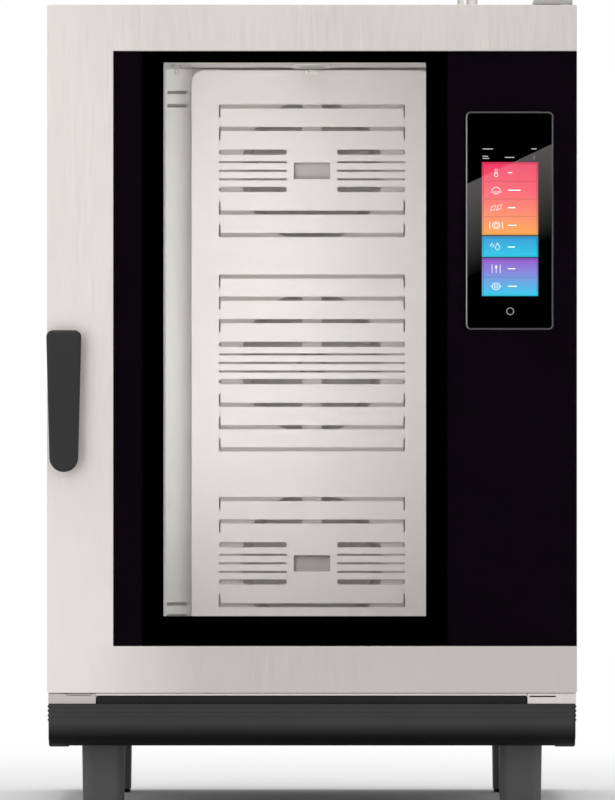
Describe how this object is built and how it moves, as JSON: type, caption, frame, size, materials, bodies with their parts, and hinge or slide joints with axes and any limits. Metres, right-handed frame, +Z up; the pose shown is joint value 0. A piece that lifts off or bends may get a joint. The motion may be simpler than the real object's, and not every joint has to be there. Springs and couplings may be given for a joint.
{
  "type": "combi steamer oven",
  "caption": "Floor-standing combi steamer oven with a full-width glass door, touch screen, drip tray and levelling feet.",
  "frame": {"origin": "on the floor, under the middle of the oven", "axes": "+Z up, -Y out of the door, +X towards the door hinges"},
  "size_m": [0.76, 0.96, 1.2],
  "materials": {
    "front_frame": "satin stainless steel",
    "door_gasket": "black rubber",
    "side_panel_left": "satin stainless steel",
    "side_panel_right": "satin stainless steel",
    "top_cover": "satin stainless steel",
    "rear_panel": "satin stainless steel",
    "base_chassis": "plain folded steel, not polished",
    "front_lip": "fine-grained black plastic",
    "door_rest_bracket": "satin stainless steel",
    "top_hinge_bracket": "satin stainless steel",
    "bottom_hinge_bracket": "satin stainless steel",
    "latch_keeper": "plain folded steel, not polished",
    "cavity_left_wall": "satin stainless steel",
    "cavity_right_wall": "satin stainless steel",
    "cavity_ceiling": "satin stainless steel",
    "cavity_floor": "satin stainless steel",
    "cavity_back_wall": "satin stainless steel",
    "ceiling_lamp": "frosted lamp lens",
    "cavity_probe": "satin stainless steel",
    "drain_strainer": "satin stainless steel",
    "drain_pipe": "fine-grained dark grey plastic",
    "insulation_blanket": "mineral wool",
    "vent_chimney": "satin stainless steel",
    "intake_plate": "satin stainless steel",
    "steam_pipe": "satin stainless steel",
    "control_box": "plain folded steel, not polished",
    "cable_gland": "fine-grained black plastic",
    "water_inlet": "turned brass",
    "fan_cover": "satin stainless steel",
    "cover_fastener": "plain folded steel, not polished",
    "vent_damper": "satin stainless steel",
    "cooling_fan_rotor": "fine-grained black plastic",
    "door_frame": "satin stainless steel",
    "outer_glass": "black-printed toughened glass with a clear window",
    "touch_glass": "black-printed toughened glass with a clear window",
    "display_panel": "lit colour display",
    "screen_housing": "fine-grained black plastic",
    "door_liner": "satin stainless steel",
    "inner_glass": "clear toughened glass",
    "handle_grip": "fine-grained dark grey plastic",
    "handle_spindle": "plain folded steel, not polished",
    "latch_cam": "plain folded steel, not polished",
    "drip_tray": "fine-grained dark grey plastic",
    "fan_motor_upper": "grey cast motor housing",
    "heating_element_upper": "plain folded steel, not polished",
    "fan_wheel_upper": "satin stainless steel",
    "fan_motor_middle": "grey cast motor housing",
    "heating_element_middle": "plain folded steel, not polished",
    "fan_wheel_middle": "satin stainless steel",
    "fan_motor_lower": "grey cast motor housing",
    "heating_element_lower": "plain folded steel, not polished",
    "fan_wheel_lower": "satin stainless steel",
    "leg_front_left": "dark grey moulded plastic",
    "foot_front_left": "black rubber",
    "leg_front_right": "dark grey moulded plastic",
    "foot_front_right": "black rubber",
    "leg_rear_left": "dark grey moulded plastic",
    "foot_rear_left": "black rubber",
    "leg_rear_right": "dark grey moulded plastic",
    "foot_rear_right": "black rubber"
  },
  "bodies": {
    "oven": {"front_frame": "front_frame", "door_gasket": "door_gasket", "side_panel_left": "side_panel_left", "side_panel_right": "side_panel_right", "top_cover": "top_cover", "rear_panel": "rear_panel", "base_chassis": "base_chassis", "front_lip": "front_lip", "door_rest_bracket": "door_rest_bracket", "top_hinge_bracket": "top_hinge_bracket", "bottom_hinge_bracket": "bottom_hinge_bracket", "latch_keeper": "latch_keeper", "cavity_left_wall": "cavity_left_wall", "cavity_right_wall": "cavity_right_wall", "cavity_ceiling": "cavity_ceiling", "cavity_floor": "cavity_floor", "cavity_back_wall": "cavity_back_wall", "ceiling_lamp": "ceiling_lamp", "cavity_probe": "cavity_probe", "drain_strainer": "drain_strainer", "drain_pipe": "drain_pipe", "insulation_blanket": "insulation_blanket", "vent_chimney": "vent_chimney", "intake_plate": "intake_plate", "steam_pipe": "steam_pipe", "control_box": "control_box", "cable_gland": "cable_gland", "water_inlet": "water_inlet", "fan_motor_upper": "fan_motor_upper", "heating_element_upper": "heating_element_upper", "fan_motor_middle": "fan_motor_middle", "heating_element_middle": "heating_element_middle", "fan_motor_lower": "fan_motor_lower", "heating_element_lower": "heating_element_lower", "leg_front_left": "leg_front_left", "leg_front_right": "leg_front_right", "leg_rear_left": "leg_rear_left", "leg_rear_right": "leg_rear_right"},
    "door": {"door_frame": "door_frame", "outer_glass": "outer_glass", "touch_glass": "touch_glass", "display_panel": "display_panel", "screen_housing": "screen_housing", "door_liner": "door_liner", "inner_glass": "inner_glass"},
    "handle": {"handle_grip": "handle_grip", "handle_spindle": "handle_spindle", "latch_cam": "latch_cam"},
    "cover": {"fan_cover": "fan_cover", "cover_fastener": "cover_fastener"},
    "tray": {"drip_tray": "drip_tray"},
    "damper": {"vent_damper": "vent_damper"},
    "cooling_fan": {"cooling_fan_rotor": "cooling_fan_rotor"},
    "fan_upper": {"fan_wheel_upper": "fan_wheel_upper"},
    "fan_middle": {"fan_wheel_middle": "fan_wheel_middle"},
    "fan_lower": {"fan_wheel_lower": "fan_wheel_lower"},
    "foot_front_left": {"foot_front_left": "foot_front_left"},
    "foot_front_right": {"foot_front_right": "foot_front_right"},
    "foot_rear_left": {"foot_rear_left": "foot_rear_left"},
    "foot_rear_right": {"foot_rear_right": "foot_rear_right"}
  },
  "joints": [
    {"name": "door_hinge", "type": "hinge", "parent": "oven", "child": "door", "pos_m": [0.362, -0.41, 0.6615], "axis": [0, 0, 1], "range_deg": [0, 120]},
    {"name": "handle_turn", "type": "hinge", "parent": "door", "child": "handle", "pos_m": [-0.355, -0.454, 0.665], "axis": [0, 1, 0], "range_deg": [-45, 45]},
    {"name": "fan_upper_spin", "type": "hinge", "parent": "oven", "child": "fan_upper", "pos_m": [0, 0.3, 0.9303], "axis": [0, 1, 0], "continuous": true},
    {"name": "fan_middle_spin", "type": "hinge", "parent": "oven", "child": "fan_middle", "pos_m": [0, 0.3, 0.6433], "axis": [0, 1, 0], "continuous": true},
    {"name": "fan_lower_spin", "type": "hinge", "parent": "oven", "child": "fan_lower", "pos_m": [0, 0.3, 0.344], "axis": [0, 1, 0], "continuous": true},
    {"name": "cover_swing", "type": "hinge", "parent": "oven", "child": "cover", "pos_m": [-0.16, 0.255, 0.637], "axis": [0, 0, -1], "range_deg": [0, 90]},
    {"name": "tray_slide", "type": "slide", "parent": "oven", "child": "tray", "axis": [0, -1, 0], "range_m": [0, 0.12]},
    {"name": "damper_turn", "type": "hinge", "parent": "oven", "child": "damper", "pos_m": [0.23, 0.1, 1.182], "axis": [1, 0, 0], "range_deg": [0, 90]},
    {"name": "cooling_fan_spin", "type": "hinge", "parent": "oven", "child": "cooling_fan", "pos_m": [0.3, 0.44, 0.95], "axis": [0, 1, 0], "continuous": true},
    {"name": "foot_front_left_screw", "type": "slide", "parent": "oven", "child": "foot_front_left", "axis": [0, 0, -1], "range_m": [0, 0.02]},
    {"name": "foot_front_right_screw", "type": "slide", "parent": "oven", "child": "foot_front_right", "axis": [0, 0, -1], "range_m": [0, 0.02]},
    {"name": "foot_rear_left_screw", "type": "slide", "parent": "oven", "child": "foot_rear_left", "axis": [0, 0, -1], "range_m": [0, 0.02]},
    {"name": "foot_rear_right_screw", "type": "slide", "parent": "oven", "child": "foot_rear_right", "axis": [0, 0, -1], "range_m": [0, 0.02]}
  ]
}
